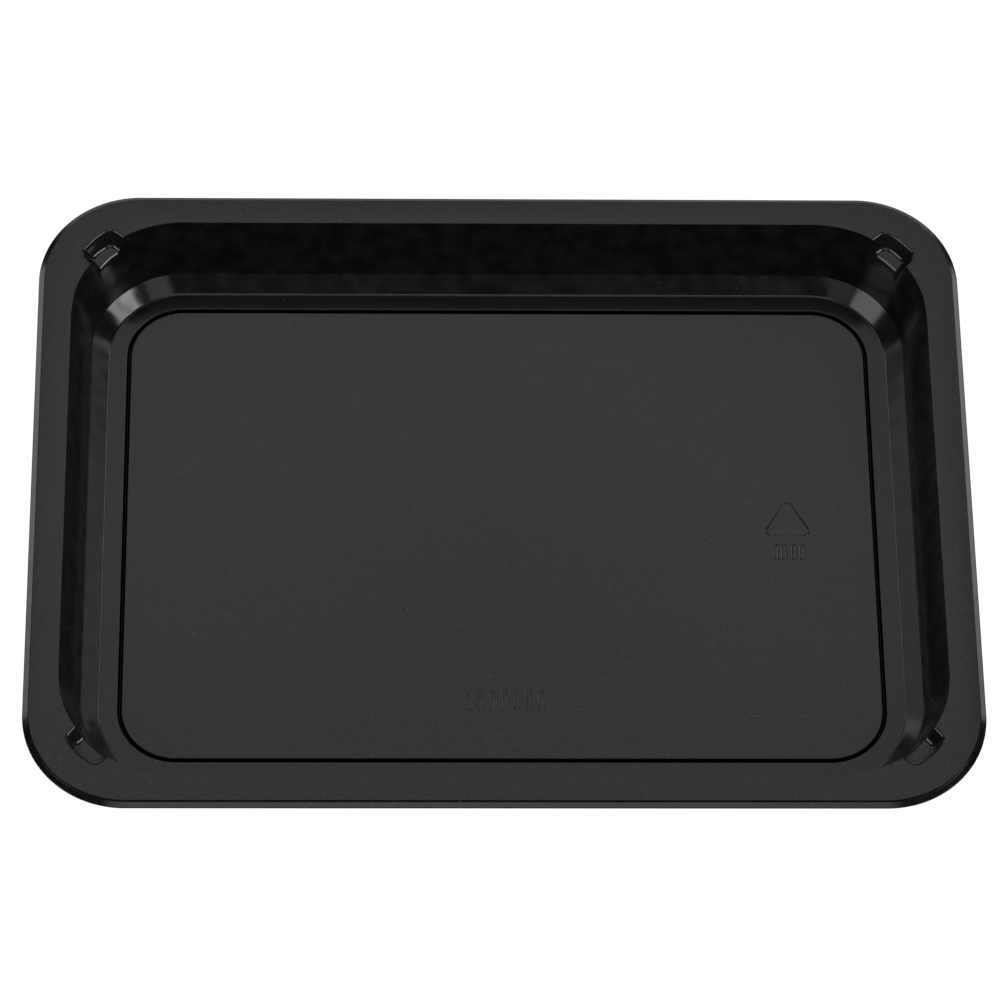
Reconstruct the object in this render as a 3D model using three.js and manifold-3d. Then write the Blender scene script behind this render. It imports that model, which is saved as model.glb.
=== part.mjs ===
import * as THREE from 'three';
import Module from 'manifold-3d';

// A shallow food tray moulded in one piece from thin black plastic.
// Millimetres, +Z up, +X along the tray. The origin is under its middle, at the level it stands on.

// Every outline is a rounded rectangle, given by its margin: how far it lies inside the outer edge.
const trayLength = 241;
const trayWidth = 180;
const sheet = 0.5;
const cornerSegments = 16;

// Margins of the edges that run round the tray, from the lip inwards to the flat panel
const flangeOuterMargin = 1.25;
const flangeInnerMargin = 8.05;
const wallTopMargin = 8.55;
const wallFootMargin = 13.33;
const chamferFootMargin = 17.8;
const grooveOuterMargin = 22.47;
const grooveInnerMargin = 23.64;
const panelMargin = 30;

// Depths of the same edges below the rim
const flangeDroop = 0.15;
const lipDepth = 1.5;
const wallFootDepth = 17.35;
const panelDepth = 20.9;
const grooveDepth = 1.25;
const grooveFloor = 0.2;
const rimHeight = panelDepth + grooveDepth + sheet;

// The inner outlines share one corner centre. The lip and the flange's outer edge turn tighter.
const cornerCentreMargin = 37.5;
const lipCornerRadius = 26;
const cornerCentreX = trayLength / 2 - cornerCentreMargin;
const cornerCentreY = trayWidth / 2 - cornerCentreMargin;

// Rounding between the flange and the wall, and the step between the flange and the lip
const rimSegments = 5;
const stepRounding = 0.15;
const stepDraft = 0.1;

// The pocket for the lid's catch, cut across each corner of the rim and open towards the inside.
// Radii are from the corner centre. The back bows outwards, and all three walls lean outwards.
const pocketDepth = 4;
const pocketSideDraft = THREE.MathUtils.degToRad(23);
const pocketBackDraft = THREE.MathUtils.degToRad(22);
const pocketSideTaper = THREE.MathUtils.degToRad(5.5);
const pocketHalfWidth = 5.55;
const pocketBackRadius = 33.1;
const pocketBowRadius = 20;
const pocketCornerRadius = 1.7;
const pocketFloorCornerRadius = 1;
const pocketCornerSegments = 4;
const pocketBackSegments = 6;
const pocketMouthReach = 9;
const pocketCutRise = 1;

function cornerRadius(margin) {
  if (margin >= wallTopMargin) {
    return cornerCentreMargin - margin;
  }
  const outerRadius = lipCornerRadius - flangeOuterMargin;
  if (margin <= flangeOuterMargin) {
    return lipCornerRadius - margin;
  }
  const across = (margin - flangeOuterMargin) / (wallTopMargin - flangeOuterMargin);
  return THREE.MathUtils.lerp(outerRadius, cornerCentreMargin - wallTopMargin, across);
}

// One outline, anticlockwise from above
function roundedRectangle(margin, z, radius = cornerRadius(margin)) {
  const straightX = trayLength / 2 - margin - radius;
  const straightY = trayWidth / 2 - margin - radius;
  const points = [];
  for (let corner = 0; corner < 4; corner++) {
    const centreX = corner === 0 || corner === 3 ? straightX : -straightX;
    const centreY = corner < 2 ? straightY : -straightY;
    for (let i = 0; i <= cornerSegments; i++) {
      const angle = (corner + i / cornerSegments) * Math.PI / 2;
      const x = centreX + radius * Math.cos(angle);
      const y = centreY + radius * Math.sin(angle);
      points.push(new THREE.Vector3(x, y, z));
    }
  }
  return points;
}

// The upper face's section, from the panel out to the lip: x is minus the margin, y the height
function upperProfile() {
  const panelHeight = rimHeight - panelDepth;
  const grooveMargin = (grooveOuterMargin + grooveInnerMargin) / 2;
  const points = [
    new THREE.Vector2(-panelMargin, panelHeight),
    new THREE.Vector2(-grooveInnerMargin, panelHeight),
    new THREE.Vector2(-grooveMargin - grooveFloor / 2, panelHeight - grooveDepth),
    new THREE.Vector2(-grooveMargin + grooveFloor / 2, panelHeight - grooveDepth),
    new THREE.Vector2(-grooveOuterMargin, panelHeight),
    new THREE.Vector2(-chamferFootMargin, panelHeight),
    new THREE.Vector2(-wallFootMargin, rimHeight - wallFootDepth),
  ];
  points.push(...rimRounding());
  points.push(
    new THREE.Vector2(-flangeOuterMargin - stepRounding, rimHeight - flangeDroop),
    new THREE.Vector2(-flangeOuterMargin, rimHeight - flangeDroop - stepRounding),
    new THREE.Vector2(-flangeOuterMargin + stepDraft, rimHeight - lipDepth),
    new THREE.Vector2(0, rimHeight - lipDepth),
  );
  return points;
}

// The rounded edge between the wall and the flange, tangent to both
function rimRounding() {
  const foot = new THREE.Vector2(-wallFootMargin, rimHeight - wallFootDepth);
  const edge = new THREE.Vector2(-wallTopMargin, rimHeight);
  const flange = new THREE.Vector2(-flangeInnerMargin, rimHeight);
  const reach = edge.distanceTo(flange);
  const start = edge.clone().add(foot.sub(edge).setLength(reach));
  return new THREE.QuadraticBezierCurve(start, edge, flange).getPoints(rimSegments);
}

// The same section moved by a distance to its right-hand side, its corners mitred
function offsetProfile(points, distance) {
  return points.map((point, i) => {
    const before = points[Math.max(i - 1, 0)];
    const after = points[Math.min(i + 1, points.length - 1)];
    const arriving = rightOf(i > 0 ? before : point, i > 0 ? point : after);
    const leaving = rightOf(i < points.length - 1 ? point : before, i < points.length - 1 ? after : point);
    const mitre = arriving.clone().add(leaving).divideScalar(1 + arriving.dot(leaving));
    return point.clone().addScaledVector(mitre, distance);
  });
}

function rightOf(start, end) {
  const along = end.clone().sub(start).normalize();
  return new THREE.Vector2(along.y, -along.x);
}

// A solid from a stack of outlines with equal numbers of points, flat at both ends
function stackSolid(wasm, rings) {
  const count = rings[0].length;
  const vertices = rings.flat();
  const triangles = [];
  for (let level = 0; level < rings.length - 1; level++) {
    for (let i = 0; i < count; i++) {
      const next = (i + 1) % count;
      const here = level * count;
      const there = here + count;
      triangles.push(here + i, there + i, there + next);
      triangles.push(here + i, there + next, here + next);
    }
  }
  const firstMiddle = vertices.push(middleOf(rings[0])) - 1;
  const lastMiddle = vertices.push(middleOf(rings[rings.length - 1])) - 1;
  const lastStart = (rings.length - 1) * count;
  for (let i = 0; i < count; i++) {
    const next = (i + 1) % count;
    triangles.push(firstMiddle, i, next);
    triangles.push(lastMiddle, lastStart + next, lastStart + i);
  }
  const vertProperties = new Float32Array(vertices.flatMap((vertex) => vertex.toArray()));
  const triVerts = new Uint32Array(triangles);
  return new wasm.Manifold(new wasm.Mesh({ numProp: 3, vertProperties, triVerts }));
}

function middleOf(ring) {
  const sum = ring.reduce((total, point) => total.add(point), new THREE.Vector3());
  return sum.divideScalar(ring.length);
}

// The sheet: out along the upper face, round the lip's edge and back along the lower face
function sheetSolid(wasm) {
  const upper = upperProfile();
  const lower = offsetProfile(upper, sheet).reverse();
  return stackSolid(wasm, [...upper, ...lower].map((point) => roundedRectangle(-point.x, point.y)));
}

// The space inside the walls up to the rim, as far out as the middle of the sheet
function innerSpace(wasm) {
  const wall = offsetProfile([
    new THREE.Vector2(-wallFootMargin, rimHeight - wallFootDepth),
    new THREE.Vector2(-wallTopMargin, rimHeight),
  ], sheet / 2);
  const rings = wall.map((point) => roundedRectangle(-point.x, point.y, cornerCentreMargin + point.x));
  return stackSolid(wasm, rings.reverse());
}

// One level of a pocket at a depth below the rim, its walls moved out by growth.
// It points along +X from the corner centre, and runs anticlockwise from its mouth on the -Y side.
function pocketOutline(depth, growth) {
  const sideInset = depth * Math.tan(pocketSideDraft) - growth;
  const backInset = depth * Math.tan(pocketBackDraft) - growth;
  const shrink = depth / pocketDepth;
  const rounding = THREE.MathUtils.lerp(pocketCornerRadius, pocketFloorCornerRadius, shrink) + growth;
  const bowCentre = pocketBackRadius - pocketBowRadius;
  const bowRadius = pocketBowRadius - backInset;
  const cornerY = pocketHalfWidth - sideInset - rounding;
  const cornerX = bowCentre + Math.sqrt((bowRadius - rounding) ** 2 - cornerY ** 2);
  const bowAngle = Math.atan2(cornerY, cornerX - bowCentre);
  const mouthX = cornerCentreMargin - wallTopMargin - pocketMouthReach;
  const flare = (cornerX - mouthX) * Math.tan(pocketSideTaper);
  const mouthY = cornerY + rounding / Math.cos(pocketSideTaper) + flare;
  const side = [new THREE.Vector2(mouthX, mouthY)];
  for (let i = 0; i <= pocketCornerSegments; i++) {
    const angle = THREE.MathUtils.lerp(Math.PI / 2 - pocketSideTaper, bowAngle, i / pocketCornerSegments);
    side.push(new THREE.Vector2(cornerX + rounding * Math.cos(angle), cornerY + rounding * Math.sin(angle)));
  }
  const back = [];
  for (let i = 1; i < pocketBackSegments; i++) {
    const angle = THREE.MathUtils.lerp(-bowAngle, bowAngle, i / pocketBackSegments);
    back.push(new THREE.Vector2(bowCentre + bowRadius * Math.cos(angle), bowRadius * Math.sin(angle)));
  }
  return [...side.map((point) => new THREE.Vector2(point.x, -point.y)), ...back, ...side.reverse()];
}

// A pocket between two depths below the rim, turned to a corner's diagonal
function pocketSolid(wasm, quadrant, topDepth, floorDepth, growth) {
  const turn = (quadrant + 0.5) * Math.PI / 2;
  const centreX = cornerCentreX * Math.sign(Math.cos(turn));
  const centreY = cornerCentreY * Math.sign(Math.sin(turn));
  const rings = [topDepth, floorDepth].map((depth) => pocketOutline(depth, growth).map((point) => {
    const turned = point.rotateAround(new THREE.Vector2(), turn);
    return new THREE.Vector3(centreX + turned.x, centreY + turned.y, rimHeight - depth);
  }));
  return stackSolid(wasm, rings);
}

// The sheet with its pockets: each pocket's outside is joined on before its inside is cut
function traySolid(wasm) {
  const inside = innerSpace(wasm);
  const growth = sheet / Math.cos(pocketBackDraft);
  let tray = sheetSolid(wasm);
  for (let quadrant = 0; quadrant < 4; quadrant++) {
    const outside = pocketSolid(wasm, quadrant, sheet / 2, pocketDepth + sheet, growth);
    const cut = pocketSolid(wasm, quadrant, -pocketCutRise, pocketDepth, 0);
    tray = tray.add(outside.subtract(inside)).subtract(cut);
  }
  return tray;
}

function geometryFrom(solid) {
  const { vertProperties, triVerts } = solid.getMesh();
  const geometry = new THREE.BufferGeometry();
  geometry.setAttribute('position', new THREE.BufferAttribute(vertProperties, 3));
  geometry.setIndex(new THREE.BufferAttribute(triVerts, 1));
  geometry.computeVertexNormals();
  return geometry;
}

const wasm = await Module();
wasm.setup();

const blackPlastic = new THREE.MeshStandardMaterial({ color: 0x2b2b2d, roughness: 0.35, metalness: 0 });
const tray = new THREE.Mesh(geometryFrom(traySolid(wasm)), blackPlastic);
tray.name = 'tray';

const foodTray = new THREE.Group();
foodTray.add(tray);

export default foodTray;
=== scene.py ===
import math

import bpy
import numpy as np
from mathutils import Euler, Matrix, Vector


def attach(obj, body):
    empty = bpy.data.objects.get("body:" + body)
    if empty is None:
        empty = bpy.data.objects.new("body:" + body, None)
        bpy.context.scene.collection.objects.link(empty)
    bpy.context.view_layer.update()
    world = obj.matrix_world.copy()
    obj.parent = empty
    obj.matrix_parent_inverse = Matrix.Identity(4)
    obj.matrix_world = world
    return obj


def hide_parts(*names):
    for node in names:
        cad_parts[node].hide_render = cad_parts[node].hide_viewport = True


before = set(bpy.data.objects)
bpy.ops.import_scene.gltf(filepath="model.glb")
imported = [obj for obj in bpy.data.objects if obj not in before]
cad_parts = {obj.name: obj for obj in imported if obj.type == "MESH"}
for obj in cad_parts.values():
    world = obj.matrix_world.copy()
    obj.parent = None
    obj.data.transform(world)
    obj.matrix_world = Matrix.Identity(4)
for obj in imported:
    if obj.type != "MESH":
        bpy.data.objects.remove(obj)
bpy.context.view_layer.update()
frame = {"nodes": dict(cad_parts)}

# A black plastic food tray on a white table. The tray's numbers are millimetres, as in its
# drawing, and everything is built in metres.
mm = 0.001
print("frame loaded:", ", ".join(frame["nodes"]))


# margin: how far an outline lies inside the lip's outer edge. depth: how far below the rim.
traySize = {
    "length": 241.0,
    "width": 180.0,
    "rimHeight": 22.65,
    "sheet": 0.5,
    "cornerCentre": 37.5,    # margin of the corner centre that the inner outlines share
    "lipRadius": 26.0,
    "lipMargin": 1.25,       # outside this the corners turn about the lip's own centre
    "wallMargin": 8.55,      # inside this they turn about the shared one
    "flangeCrown": 0.15,     # four times the flange's rise midway between its edges
    "lipEdge": 0.23,         # rounding of the lip's free edge
    "tightest": 0.12,        # smallest rounding on the underside
}

# The upper face from the flat panel out to the lip: margin, depth, rounding
traySection = [
    (30.0, 20.9, 0.0),       # on the flat panel
    (23.64, 20.9, 0.12),     # groove, inner edge
    (23.03, 22.23, 0.06),    # groove, bottom
    (22.42, 20.9, 0.12),     # groove, outer edge
    (17.8, 21.03, 0.8),      # foot of the chamfer
    (13.33, 17.35, 0.6),     # foot of the wall
    (8.6, 0.0, 0.28),        # rim, where the wall meets the flange
    (1.4, 0.15, 0.08),       # step, top
    (1.27, 0.92, 0.1),       # step, foot
    (-0.2, 1.47, 0.0),       # free edge of the lip
]

trayGrid = {
    "arcStep": 12.0,         # degrees between points of a rounding, and on the underside
    "underArcStep": 24.0,
    "support": 0.12,         # a row this close to each end of a rounding keeps the flats flat
    "wallGap": 3.0,
    "flangeGap": 0.6,
    "flangeDepth": 1.0,      # deeper than this is no longer the flange
    "pocketFlangeGap": 0.085,
    "pocketWallGap": 0.26,
    "pocketEdgeGap": 0.07,   # beside the front edge of a pocket's floor
    "pocketEdge": 0.22,      # how near the floor's depth counts as beside that edge
    "underFactor": 3.0,      # the underside takes wider gaps
    "pocketMargins": (5.3, 9.9),    # the rows are close together between these margins
    "pocketDepth": 5.2,      # and down to this depth
    "cornerStep": 2.6,       # degrees between columns round a corner
    "pocketMiddleStep": 1.2,
    "pocketSideStep": 0.31,
    "pocketSide": (6.0, 13.4),   # degrees from the diagonal where a pocket's side walls are
    "straight": (0.008, 0.06, 0.2, 0.4, 0.6, 0.8, 0.94, 0.992),
}

# The pocket for the lid's catch, at each corner. Reaches run along the diagonal, from the
# corner centre.
catchPocket = {
    "depth": 4.0,
    "halfWidth": 5.56,
    "shoulderReach": 30.99,  # where that half width is measured
    "backReach": 33.1,
    "bowRadius": 20.0,
    "sideDraft": 23.0,       # drafts and taper in degrees
    "backDraft": 22.0,
    "sideTaper": 5.5,
    "cornerBlend": 3.8,
    "floorBlend": 2.2,
    "rimBlend": 1.3,
    "edgeBlend": 0.2,        # along the front edge of the floor
}


# The smaller of two heights, rounded over where they are within blend of each other
def softMin(first, second, blend):
    overlap = np.maximum(blend - np.abs(first - second), 0) / blend
    return np.minimum(first, second) - overlap ** 2 * blend / 4


# The direction to the right of a line
def rightOf(start, end):
    along = (end - start).normalized()
    return Vector((along.y, -along.x))


# The section moved to its right by the sheet's thickness, for the underside
def underSection(corners, sheet, tightest):
    points = [Vector((-margin, -depth)) for margin, depth, rounding in corners]
    under = []
    for i, point in enumerate(points):
        arriving = rightOf(points[i - 1], point) if i > 0 else rightOf(point, points[i + 1])
        leaving = rightOf(point, points[i + 1]) if i < len(points) - 1 else arriving
        moved = point + (arriving + leaving) * (sheet / (1 + arriving.dot(leaving)))
        turnsRight = arriving.cross(leaving) < 0
        rounding = corners[i][2] + (-sheet if turnsRight else sheet)
        under.append((-moved.x, -moved.y, max(rounding, tightest)))
    return under


# Rounds the corners of a section, and leaves a support point at each end of every rounding
def roundedSection(corners, arcStep):
    points = [Vector((-margin, -depth)) for margin, depth, rounding in corners]
    section = [points[0]]
    for i in range(1, len(points) - 1):
        back = (points[i - 1] - points[i]).normalized()
        ahead = (points[i + 1] - points[i]).normalized()
        opening = back.angle(ahead)
        reach = corners[i][2] / math.tan(opening / 2)
        centre = points[i] + (back + ahead).normalized() * (corners[i][2] / math.sin(opening / 2))
        turn = math.pi - opening
        steps = max(2, math.ceil(math.degrees(turn) / arcStep))
        start = points[i] + back * reach - centre
        side = 1 if back.cross(ahead) < 0 else -1
        section.append(points[i] + back * (reach + trayGrid["support"]))
        for step in range(steps + 1):
            angle = side * turn * step / steps
            turned = Vector((start.x * math.cos(angle) - start.y * math.sin(angle),
                             start.x * math.sin(angle) + start.y * math.cos(angle)))
            section.append(centre + turned)
        section.append(points[i] + ahead * (reach + trayGrid["support"]))
    section.append(points[-1])
    return section


# How far apart the rows lie at a point of the section
def gapAt(point, factor):
    margin, depth = -point.x, -point.y
    low, high = trayGrid["pocketMargins"]
    if low < margin < high and depth < trayGrid["pocketDepth"]:
        if margin < traySize["wallMargin"] and depth < trayGrid["flangeDepth"]:
            return factor * trayGrid["pocketFlangeGap"]
        if abs(depth - catchPocket["depth"]) < trayGrid["pocketEdge"]:
            return factor * trayGrid["pocketEdgeGap"]
        return factor * trayGrid["pocketWallGap"]
    return trayGrid["flangeGap" if margin < low else "wallGap"]


# Adds points to the straight runs of a section, close together where the pockets are cut
def filledSection(section, factor):
    filled = [section[0]]
    for start, end in zip(section, section[1:]):
        length = (end - start).length
        stops = [0.0]
        while stops[-1] < length:
            here = start + (end - start) * (stops[-1] / length)
            stops.append(stops[-1] + gapAt(here, factor))
        stretch = length / stops[-1]
        filled += [start + (end - start) * (stop * stretch / length) for stop in stops[1:]]
    return filled


# Directions of the columns round one corner, close together at the pocket's side walls
def cornerAngles():
    near, far = trayGrid["pocketSide"]
    bands = [(0, 45 - far, "cornerStep"), (45 - far, 45 - near, "pocketSideStep"),
             (45 - near, 45 + near, "pocketMiddleStep"), (45 + near, 45 + far, "pocketSideStep"),
             (45 + far, 90, "cornerStep")]
    angles = [0.0]
    for start, end, name in bands:
        steps = math.ceil((end - start) / trayGrid[name])
        angles += [start + (end - start) * step / steps for step in range(1, steps + 1)]
    return np.radians(angles)


# The inner outlines share one corner centre, and the lip turns tighter
def cornerRadius(margin):
    if margin >= traySize["wallMargin"]:
        return traySize["cornerCentre"] - margin
    if margin <= traySize["lipMargin"]:
        return traySize["lipRadius"] - margin
    across = (margin - traySize["lipMargin"]) / (traySize["wallMargin"] - traySize["lipMargin"])
    outer = traySize["lipRadius"] - traySize["lipMargin"]
    return outer + (traySize["cornerCentre"] - traySize["wallMargin"] - outer) * across


# One outline of the tray, anticlockwise from above, as rows of x and y
def outlineAt(margin, angles):
    radius = cornerRadius(margin)
    centreX = traySize["length"] / 2 - margin - radius
    centreY = traySize["width"] / 2 - margin - radius
    signs = [(1, 1), (-1, 1), (-1, -1), (1, -1)]
    arcs = []
    for corner, (signX, signY) in enumerate(signs):
        turned = angles + corner * math.pi / 2
        arcs.append(np.stack([signX * centreX + radius * np.cos(turned),
                              signY * centreY + radius * np.sin(turned)], axis=1))
    rows = []
    for corner, arc in enumerate(arcs):
        start, end = arc[-1], arcs[(corner + 1) % 4][0]
        rows.append(arc)
        rows.append(start + (end - start) * np.array(trayGrid["straight"])[:, None])
    return np.concatenate(rows)


# Depth of a catch pocket below the rim at x, y, or less than nothing outside it
def pocketDrop(x, y, growth):
    alongX = np.abs(x) - (traySize["length"] / 2 - traySize["cornerCentre"])
    alongY = np.abs(y) - (traySize["width"] / 2 - traySize["cornerCentre"])
    reach = (alongX + alongY) / math.sqrt(2)
    aside = np.abs(alongY - alongX) / math.sqrt(2)
    taper = math.radians(catchPocket["sideTaper"])
    flare = (catchPocket["shoulderReach"] - reach) * math.tan(taper)
    sideRoom = (catchPocket["halfWidth"] + flare - aside) * math.cos(taper) + growth
    bowCentre = catchPocket["backReach"] - catchPocket["bowRadius"]
    backRoom = catchPocket["bowRadius"] - np.hypot(reach - bowCentre, aside) + growth
    sideDrop = sideRoom / math.tan(math.radians(catchPocket["sideDraft"]))
    backDrop = backRoom / math.tan(math.radians(catchPocket["backDraft"]))
    return softMin(sideDrop, backDrop, catchPocket["cornerBlend"])


# How much the flange rises between its two edges
def flangeCrown(margin):
    across = (traySize["wallMargin"] - margin) / (traySize["wallMargin"] - traySize["lipMargin"])
    across = min(max(across, 0), 1)
    return traySize["flangeCrown"] * across * (1 - across)


# The section's points along the upper face, and back along the underside
def trayRows():
    upper = list(traySection)
    under = underSection(traySection, traySize["sheet"], traySize["tightest"])
    under[0] = (under[0][0], under[0][1], 0.0)
    edge = traySize["lipEdge"]
    upper[-1] = (*upper[-1][:2], edge)
    under[-1] = (*under[-1][:2], edge)
    over = roundedSection(upper + under[-1:], trayGrid["arcStep"])[:-1]
    below = roundedSection(upper[-1:] + under[::-1], trayGrid["underArcStep"])[1:]
    return filledSection(over, 1), filledSection(below, trayGrid["underFactor"])


# One outline for each point of the section, with the pockets sunk into them
def trayMesh():
    over, below = trayRows()
    angles = cornerAngles()
    levels = []
    for i, point in enumerate(over + below):
        outline = outlineAt(-point.x, angles)
        isUnder = i >= len(over)
        height = np.full(len(outline), point.y + flangeCrown(-point.x))
        growth = 0.0
        floor = catchPocket["depth"]
        if isUnder:
            growth = traySize["sheet"] / math.cos(math.radians(catchPocket["backDraft"]))
            floor += traySize["sheet"]
        drop = pocketDrop(outline[:, 0], outline[:, 1], growth)
        drop = softMin(drop, floor, catchPocket["floorBlend"])
        blend = catchPocket["edgeBlend" if -point.x > traySize["wallMargin"] else "rimBlend"]
        height = softMin(height, -drop, blend)
        levels.append(np.column_stack([outline, height + traySize["rimHeight"]]))
    points = np.concatenate(levels) * mm
    count = len(levels[0])
    faces = [tuple(range(count))]
    for level in range(len(levels) - 1):
        for i in range(count):
            here, there = level * count, (level + 1) * count
            after = (i + 1) % count
            faces.append((here + i, there + i, there + after, here + after))
    last = (len(levels) - 1) * count
    faces.append(tuple(range(last + count - 1, last - 1, -1)))
    mesh = bpy.data.meshes.new("trayShell")
    mesh.from_pydata(points.tolist(), [], faces)
    mesh.shade_smooth()
    return mesh


tray = bpy.data.objects.new("trayShell", trayMesh())
bpy.context.scene.collection.objects.link(tray)
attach(tray, "root")
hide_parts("tray")
print("tray built:", len(tray.data.polygons), "faces")


# Plain low relief on the panel: a rounded triangle over four strokes, and a row of strokes at
# the front. Millimetres, and places are from the tray's middle.
panelMarks = {
    "lineWidth": 0.5,
    "height": 0.12,
    "sunk": 0.1,             # how far the beads go down into the sheet
    "beadSteps": 6,          # faces across a bead
    "arcSteps": 5,           # and round each corner of a mark
    "triangle": {"at": (74.7, 4.2), "size": (13.3, 11.0), "rounding": 1.4, "shape": "triangle"},
    "strokeRounding": 0.45,
    "sideStroke": {"size": (1.0, 4.5), "y": -6.3, "x": (71.4, 73.5, 76.1, 78.2)},
    "frontStroke": {"size": (1.0, 6.0), "y": -49.8,
                    "x": (-8.8, -5.7, -2.6, 0.5, 3.6, 6.7, 9.8)},
}


# Points round a mark, anticlockwise, each with its outward direction
def markOutline(mark):
    wide, tall = mark["size"]
    corners = [(-0.5, -0.5), (0.5, -0.5), (0.5, 0.5), (-0.5, 0.5)]
    if mark.get("shape") == "triangle":
        corners = [(-0.5, -0.5), (0.5, -0.5), (0, 0.5)]
    middle = Vector(mark["at"])
    corners = [middle + Vector((x * wide, y * tall)) for x, y in corners]
    points = []
    for i, corner in enumerate(corners):
        back = (corners[i - 1] - corner).normalized()
        ahead = (corners[(i + 1) % len(corners)] - corner).normalized()
        opening = back.angle(ahead)
        centre = corner + (back + ahead).normalized() * (mark["rounding"] / math.sin(opening / 2))
        start = math.atan2(back.x, -back.y)
        for step in range(panelMarks["arcSteps"] + 1):
            angle = start + (math.pi - opening) * step / panelMarks["arcSteps"]
            outward = Vector((math.cos(angle), math.sin(angle)))
            points.append((centre + outward * mark["rounding"], outward))
    return points


# A low rounded bead along the outline, closed underneath inside the sheet
def markMesh(name, mark):
    panel = traySize["rimHeight"] - traySection[0][1]
    half = panelMarks["lineWidth"] / 2
    profile = [(-half, -panelMarks["sunk"])]
    steps = panelMarks["beadSteps"]
    for step in range(steps + 1):
        across = -1 + 2 * step / steps
        rise = panelMarks["height"] * math.cos(across * math.pi / 2) ** 2
        profile.append((across * half, rise))
    profile.append((half, -panelMarks["sunk"]))
    outline = markOutline(mark)
    points, faces = [], []
    for centre, outward in outline:
        for across, rise in profile:
            place = centre + outward * across
            points.append((place.x * mm, place.y * mm, (panel + rise) * mm))
    wide, count = len(profile), len(outline)
    for i in range(count):
        here, after = i * wide, (i + 1) % count * wide
        for j in range(wide):
            above = (j + 1) % wide
            faces.append((here + j, after + j, after + above, here + above))
    mesh = bpy.data.meshes.new(name)
    mesh.from_pydata(points, [], faces)
    mesh.shade_smooth()
    return mesh


markShapes = {"mark_triangle": panelMarks["triangle"]}
for row in ("sideStroke", "frontStroke"):
    strokes = panelMarks[row]
    for i, x in enumerate(strokes["x"]):
        markShapes[f"mark_{row}{i + 1}"] = {"at": (x, strokes["y"]), "size": strokes["size"],
                                            "rounding": panelMarks["strokeRounding"]}

marks = []
for name, shape in markShapes.items():
    mark = bpy.data.objects.new(name, markMesh(name, shape))
    bpy.context.scene.collection.objects.link(mark)
    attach(mark, "root")
    marks.append(mark)
print("marks built:", len(marks))


# Sizes are millimetres on the tray. The flats have a fine grain, and the drawn walls are rippled.
# A pair marks where a pattern or a colour fades in, from nothing to full.
plastic = {
    "darkColor": (0.0008, 0.0010, 0.0018),
    "paleColor": (0.0150, 0.0143, 0.0140),
    "grainSize": 0.42,
    "grainEdges": (0.36, 0.64),
    "blotchSize": 30.0,
    "flatRoughness": 0.16,
    "wallRoughness": 0.15,
    "roughnessSpread": 0.03,
    "ior": 1.5,
    "grainHeight": 0.002,
    "flatNormals": (0.85, 0.99),    # upward part of the normal, from wall to flat
    "wallDarkColor": (0.0070, 0.0074, 0.0078),
    "wallPaleColor": (0.0160, 0.0163, 0.0165),
    # painted shade: near black for the narrow groove below the panel, standing in for the shade
    # that falls inside it
    "paintedGrooveShadeColor": (0.0003, 0.0003, 0.0004),
    "paintedShadeDepths": (0.1, 0.4),     # below the panel
    "cloudSize": 5.0,
    "cloudEdges": (0.3, 0.7),
    "rippleSize": 8.0,
    "rippleStretch": 4.0,           # the walls' ripples run this much longer up and down
    "rippleHeight": 0.25,
    "markLift": 0.006,              # how much paler the marks' beads are
    "dustSpacing": 11.0,
    "dustRadius": 0.17,
    "dustCore": 0.4,                # part of the radius that is full dust
    "dustShare": (0.35, 0.9),       # cells below the first value have no speck
    "dustColor": (0.16, 0.16, 0.165),
    "scratchSpacing": 30.0,
    "scratchWidth": 0.07,
    "scratchCore": 0.3,
    "scratchBendSize": 9.0,
    "scratchBend": 8.0,
    "scratchPieceSize": 3.5,
    "scratchPieces": (0.66, 0.72),  # a line shows only where its noise is above these
    "scratchColor": (0.055, 0.055, 0.055),
}


# Settings are the node's own properties, or else values of its inputs
def addNode(tree, kind, **settings):
    node = tree.nodes.new(kind)
    for name, value in settings.items():
        if hasattr(node, name):
            setattr(node, name, value)
        else:
            node.inputs[name].default_value = value
    return node


# Rises from 0 to 1 between two values, or falls when they are given the other way round
def ramp(tree, source, start, end):
    node = addNode(tree, "ShaderNodeMapRange", interpolation_type="SMOOTHSTEP")
    node.inputs["From Min"].default_value = start
    node.inputs["From Max"].default_value = end
    tree.links.new(source, node.inputs["Value"])
    return node.outputs["Result"]


def mixColors(tree, amount, first, second):
    node = addNode(tree, "ShaderNodeMix", data_type="RGBA")
    tree.links.new(amount, node.inputs["Factor"])
    for socket, value in ((node.inputs[6], first), (node.inputs[7], second)):
        if isinstance(value, tuple):
            socket.default_value = (*value, 1)
        else:
            tree.links.new(value, socket)
    return node.outputs[2]


def multiply(tree, first, second):
    node = addNode(tree, "ShaderNodeMath", operation="MULTIPLY")
    tree.links.new(first, node.inputs[0])
    tree.links.new(second, node.inputs[1])
    return node.outputs["Value"]


def noiseOf(tree, place, size, detail):
    node = addNode(tree, "ShaderNodeTexNoise", Scale=1 / (size * mm), Detail=detail)
    tree.links.new(place, node.inputs["Vector"])
    return node


# Specks in some cells of a flat Voronoi pattern
def dustMask(tree, place):
    cells = addNode(tree, "ShaderNodeTexVoronoi", voronoi_dimensions="2D", feature="F1",
                    Scale=1 / (plastic["dustSpacing"] * mm))
    tree.links.new(place, cells.inputs["Vector"])
    radius = plastic["dustRadius"] / plastic["dustSpacing"]
    speck = ramp(tree, cells.outputs["Distance"], radius, radius * plastic["dustCore"])
    split = addNode(tree, "ShaderNodeSeparateColor")
    tree.links.new(cells.outputs["Color"], split.inputs["Color"])
    return multiply(tree, speck, ramp(tree, split.outputs["Red"], *plastic["dustShare"]))


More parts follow.
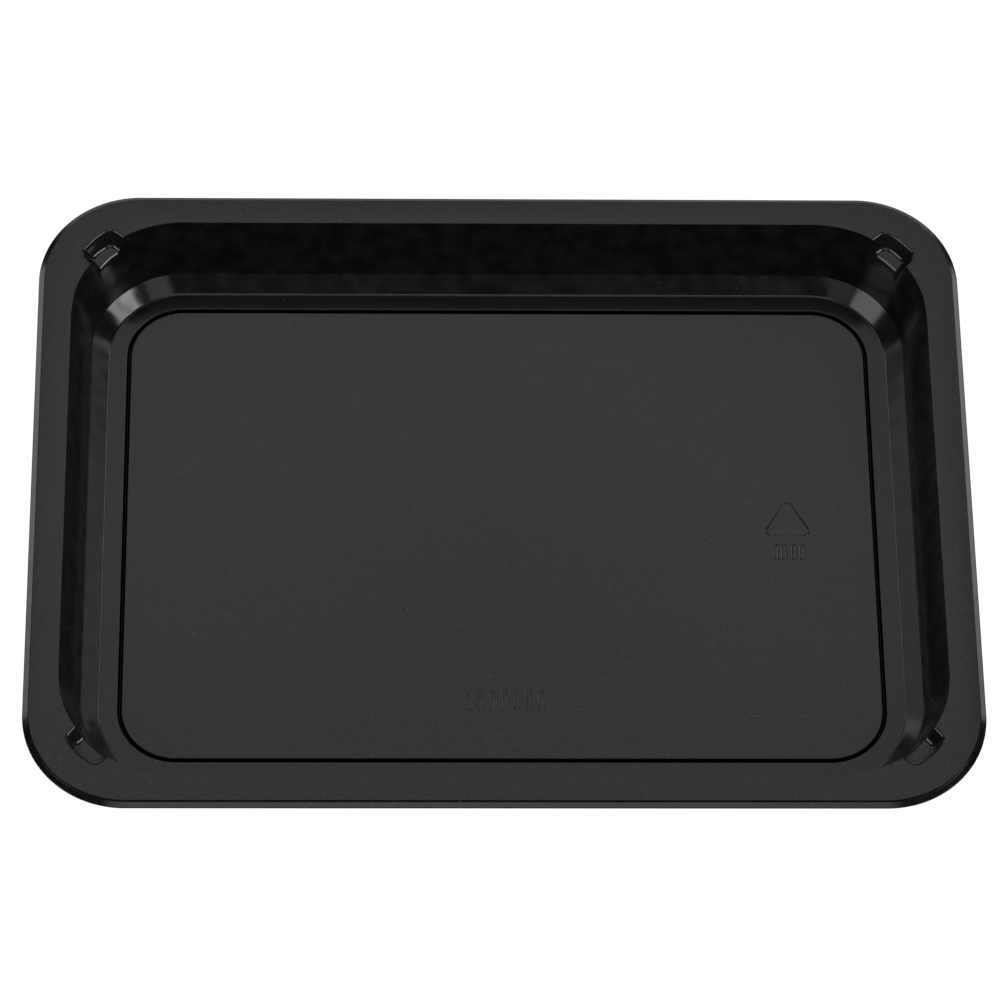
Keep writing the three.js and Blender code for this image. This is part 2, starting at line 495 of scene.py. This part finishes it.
# Short curved hairlines: pieces of the cell edges of a bent Voronoi pattern
def scratchMask(tree, place):
    bend = noiseOf(tree, place, plastic["scratchBendSize"], 1.0)
    shift = addNode(tree, "ShaderNodeVectorMath", operation="MULTIPLY_ADD")
    tree.links.new(bend.outputs["Color"], shift.inputs[0])
    shift.inputs[1].default_value = (plastic["scratchBend"] * mm,) * 3
    tree.links.new(place, shift.inputs[2])
    cells = addNode(tree, "ShaderNodeTexVoronoi", voronoi_dimensions="2D",
                    feature="DISTANCE_TO_EDGE", Scale=1 / (plastic["scratchSpacing"] * mm))
    tree.links.new(shift.outputs["Vector"], cells.inputs["Vector"])
    width = plastic["scratchWidth"] / plastic["scratchSpacing"]
    line = ramp(tree, cells.outputs["Distance"], width, width * plastic["scratchCore"])
    pieces = noiseOf(tree, place, plastic["scratchPieceSize"], 0.0)
    return multiply(tree, line, ramp(tree, pieces.outputs["Fac"], *plastic["scratchPieces"]))


# lift is added to the flats' colours
def plasticMaterial(name, lift=0.0):
    material = bpy.data.materials.new(name)
    material.use_nodes = True
    tree = material.node_tree
    shader = tree.nodes["Principled BSDF"]
    place = addNode(tree, "ShaderNodeTexCoord").outputs["Object"]
    normal = addNode(tree, "ShaderNodeSeparateXYZ")
    geometry = addNode(tree, "ShaderNodeNewGeometry")
    tree.links.new(geometry.outputs["Normal"], normal.inputs["Vector"])
    flatness = ramp(tree, normal.outputs["Z"], *plastic["flatNormals"])

    grain = noiseOf(tree, place, plastic["grainSize"], 1.0)
    blotch = noiseOf(tree, place, plastic["blotchSize"], 2.0)
    cloud = noiseOf(tree, place, plastic["cloudSize"], 2.0)
    flatColor = mixColors(tree, ramp(tree, grain.outputs["Fac"], *plastic["grainEdges"]),
                          tuple(part + lift for part in plastic["darkColor"]),
                          tuple(part + lift for part in plastic["paleColor"]))
    wallColor = mixColors(tree, ramp(tree, cloud.outputs["Fac"], *plastic["cloudEdges"]),
                          plastic["wallDarkColor"], plastic["wallPaleColor"])
    color = mixColors(tree, flatness, wallColor, flatColor)
    panelHeight = traySize["rimHeight"] - traySection[0][1]
    height = addNode(tree, "ShaderNodeSeparateXYZ")
    tree.links.new(place, height.inputs["Vector"])
    # painted shade: below the panel's height the colour fades to near black. This darkens the
    # groove where shade falls, and everything lower, such as the underside.
    grooveShadeAmount = ramp(tree, height.outputs["Z"],
                    *((panelHeight - depth) * mm for depth in plastic["paintedShadeDepths"]))
    color = mixColors(tree, grooveShadeAmount, color, plastic["paintedGrooveShadeColor"])
    dust = dustMask(tree, place)
    scratch = multiply(tree, scratchMask(tree, place), flatness)
    color = mixColors(tree, scratch, color, plastic["scratchColor"])
    color = mixColors(tree, dust, color, plastic["dustColor"])
    tree.links.new(color, shader.inputs["Base Color"])

    finish = addNode(tree, "ShaderNodeMapRange", clamp=False)
    tree.links.new(flatness, finish.inputs["Value"])
    finish.inputs["To Min"].default_value = plastic["wallRoughness"]
    finish.inputs["To Max"].default_value = plastic["flatRoughness"]
    uneven = addNode(tree, "ShaderNodeMapRange", clamp=False)
    tree.links.new(blotch.outputs["Fac"], uneven.inputs["Value"])
    uneven.inputs["To Min"].default_value = -plastic["roughnessSpread"]
    uneven.inputs["To Max"].default_value = plastic["roughnessSpread"]
    roughness = addNode(tree, "ShaderNodeMath", operation="ADD")
    tree.links.new(finish.outputs["Result"], roughness.inputs[0])
    tree.links.new(uneven.outputs["Result"], roughness.inputs[1])
    tree.links.new(roughness.outputs["Value"], shader.inputs["Roughness"])

    stretched = addNode(tree, "ShaderNodeVectorMath", operation="MULTIPLY")
    tree.links.new(place, stretched.inputs[0])
    stretched.inputs[1].default_value = (1, 1, 1 / plastic["rippleStretch"])
    ripple = noiseOf(tree, stretched.outputs["Vector"], plastic["rippleSize"], 1.0)
    ripples = addNode(tree, "ShaderNodeBump", Distance=plastic["rippleHeight"] * mm)
    wallness = ramp(tree, normal.outputs["Z"], *reversed(plastic["flatNormals"]))
    tree.links.new(wallness, ripples.inputs["Strength"])
    tree.links.new(ripple.outputs["Fac"], ripples.inputs["Height"])
    texture = addNode(tree, "ShaderNodeBump", Distance=plastic["grainHeight"] * mm)
    tree.links.new(grain.outputs["Fac"], texture.inputs["Height"])
    tree.links.new(ripples.outputs["Normal"], texture.inputs["Normal"])
    tree.links.new(texture.outputs["Normal"], shader.inputs["Normal"])
    shader.inputs["IOR"].default_value = plastic["ior"]
    return material


tray.data.materials.append(plasticMaterial("satinBlackPlastic"))
markPlastic = plasticMaterial("markPlastic", plastic["markLift"])
for mark in marks:
    mark.data.materials.append(markPlastic)
print("plastic made")


# The table lies just under the tray, in metres. A brighter patch that the tray hides lights the
# underside.
table = {
    "color": (0.15, 0.15, 0.15),
    "seen": 1.05,            # brightness to the camera
    "tableTop": {"size": (6.0, 6.0), "height": -0.0001, "glow": 0.06},
    "underTray": {"size": (0.215, 0.155), "height": -0.00005, "glow": 0.6},
}


# Pure white to the camera, but dimmer in the tray's reflections
def tablePlane(name, size, height, glow):
    wide, deep = size[0] / 2, size[1] / 2
    corners = [(-wide, -deep), (wide, -deep), (wide, deep), (-wide, deep)]
    mesh = bpy.data.meshes.new(name)
    mesh.from_pydata([(x, y, height) for x, y in corners], [], [(0, 1, 2, 3)])
    top = bpy.data.objects.new(name, mesh)
    bpy.context.scene.collection.objects.link(top)
    material = bpy.data.materials.new(name + "White")
    material.use_nodes = True
    tree = material.node_tree
    shader = tree.nodes["Principled BSDF"]
    shader.inputs["Base Color"].default_value = (*table["color"], 1)
    shader.inputs["Emission Color"].default_value = (1, 1, 1, 1)
    shader.inputs["Emission Strength"].default_value = glow
    white = addNode(tree, "ShaderNodeEmission", Color=(1, 1, 1, 1), Strength=table["seen"])
    seen = addNode(tree, "ShaderNodeMixShader")
    ray = addNode(tree, "ShaderNodeLightPath")
    tree.links.new(ray.outputs["Is Camera Ray"], seen.inputs["Fac"])
    tree.links.new(shader.outputs["BSDF"], seen.inputs[1])
    tree.links.new(white.outputs["Emission"], seen.inputs[2])
    # seen from below the table is clear, so that the tray's underside shows
    clear = addNode(tree, "ShaderNodeBsdfTransparent")
    sides = addNode(tree, "ShaderNodeMixShader")
    geometry = addNode(tree, "ShaderNodeNewGeometry")
    tree.links.new(geometry.outputs["Backfacing"], sides.inputs["Fac"])
    tree.links.new(seen.outputs["Shader"], sides.inputs[1])
    tree.links.new(clear.outputs["BSDF"], sides.inputs[2])
    tree.links.new(sides.outputs["Shader"], tree.nodes["Material Output"].inputs["Surface"])
    material.cycles.emission_sampling = "NONE"
    mesh.materials.append(material)


for name in ("tableTop", "underTray"):
    tablePlane(name, **table[name])


coolLight = (0.94, 0.915, 0.99)
skyLight = (0.84, 0.88, 1.0)
warmLight = (1.0, 0.995, 0.965)

# Soft lights aimed at the tray, oval where they have a height too. Azimuth runs anticlockwise
# from +X, angles are in degrees and sizes in metres. strength is how bright a light's face is.
softboxes = {
    "overhead": {"azimuth": 90, "elevation": 67, "size": 1.15, "strength": 0.31,
                 "color": coolLight},
    "overheadWide": {"azimuth": 90, "elevation": 60, "size": 2.34, "strength": 0.48,
                     "distance": 2.9, "color": coolLight},
    "overheadRight": {"azimuth": 74, "elevation": 54, "size": 0.7, "strength": 0.2,
                      "distance": 2.4},
    "overheadLeft": {"azimuth": 99, "elevation": 55, "size": 0.6, "strength": 0.22,
                     "distance": 2.4, "color": skyLight},
    "top": {"azimuth": 270, "elevation": 84, "size": 1.1, "strength": 0.35},
    "keyRight": {"azimuth": -22, "elevation": 43, "size": 0.66, "strength": 7.4},
    "keyRightLow": {"azimuth": -12, "elevation": 27, "size": 0.78, "strength": 5.6},
    "left": {"azimuth": 202, "elevation": 36, "size": 1.4, "strength": 2.4},
    "backStrip": {"azimuth": 90, "elevation": 16, "size": 6.0, "height": 0.8, "strength": 1.2},
    "backLeft": {"azimuth": 141, "elevation": 35, "size": 0.65, "strength": 2.9,
                 "color": coolLight},
    "backLeftLow": {"azimuth": 149, "elevation": 15, "size": 0.8, "strength": 0.55},
    "backRight": {"azimuth": 39, "elevation": 35, "size": 0.65, "strength": 3.1},
    "backRightLow": {"azimuth": 31, "elevation": 15, "size": 0.8, "strength": 0.5},
    "front": {"azimuth": 270, "elevation": 65, "size": 1.3, "strength": 1.05},
    "frontRight": {"azimuth": 300, "elevation": 50, "size": 1.06, "strength": 0.8},
    "frontLeft": {"azimuth": 240, "elevation": 50, "size": 1.06, "strength": 0.45},
}


def softLight(name, azimuth, elevation, size, strength,
              height=None, distance=2.5, color=warmLight):
    height = height or size
    data = bpy.data.lights.new(name, "AREA")
    data.shape = "ELLIPSE"
    data.size = size
    data.size_y = height
    data.color = color
    faceArea = math.pi * size * height / 4
    data.energy = strength * math.pi * faceArea
    light = bpy.data.objects.new(name, data)
    flat = math.cos(math.radians(elevation))
    direction = Vector((flat * math.cos(math.radians(azimuth)),
                        flat * math.sin(math.radians(azimuth)),
                        math.sin(math.radians(elevation))))
    light.location = direction * distance
    light.rotation_euler = direction.to_track_quat("Z", "Y").to_euler()
    bpy.context.scene.collection.objects.link(light)


for name, settings in softboxes.items():
    softLight(name, **settings)


room = {"light": 0.01, "backdrop": 1.05}


# A dim even room that the camera sees as a white backdrop
def roomWorld():
    world = bpy.data.worlds.new("room")
    bpy.context.scene.world = world
    world.use_nodes = True
    tree = world.node_tree
    dim = tree.nodes["Background"]
    dim.inputs["Color"].default_value = (1, 1, 1, 1)
    dim.inputs["Strength"].default_value = room["light"]
    white = addNode(tree, "ShaderNodeBackground", Color=(1, 1, 1, 1), Strength=room["backdrop"])
    seen = addNode(tree, "ShaderNodeMixShader")
    ray = addNode(tree, "ShaderNodeLightPath")
    tree.links.new(ray.outputs["Is Camera Ray"], seen.inputs["Fac"])
    tree.links.new(dim.outputs["Background"], seen.inputs[1])
    tree.links.new(white.outputs["Background"], seen.inputs[2])
    tree.links.new(seen.outputs["Shader"], tree.nodes["World Output"].inputs["Surface"])


roomWorld()


# Metres and degrees, lens and sensor in millimetres
camera = {
    "lens": 183.02,
    "sensorWidth": 36.0,
    "nearest": 0.05,
    "location": (-0.037145, -0.653646, 1.149644),
    "turn": (30.0094, -1.459, -0.6955),
}
cameraData = bpy.data.cameras.new("camera")
cameraData.lens = camera["lens"]
cameraData.sensor_width = camera["sensorWidth"]
cameraData.sensor_fit = "HORIZONTAL"
cameraData.clip_start = camera["nearest"]
cameraObject = bpy.data.objects.new("camera", cameraData)
cameraObject.location = camera["location"]
cameraObject.rotation_euler = Euler([math.radians(angle) for angle in camera["turn"]])
bpy.context.scene.collection.objects.link(cameraObject)
bpy.context.scene.camera = cameraObject
bpy.context.scene.view_settings.view_transform = "Standard"
print("stage, light and camera ready")
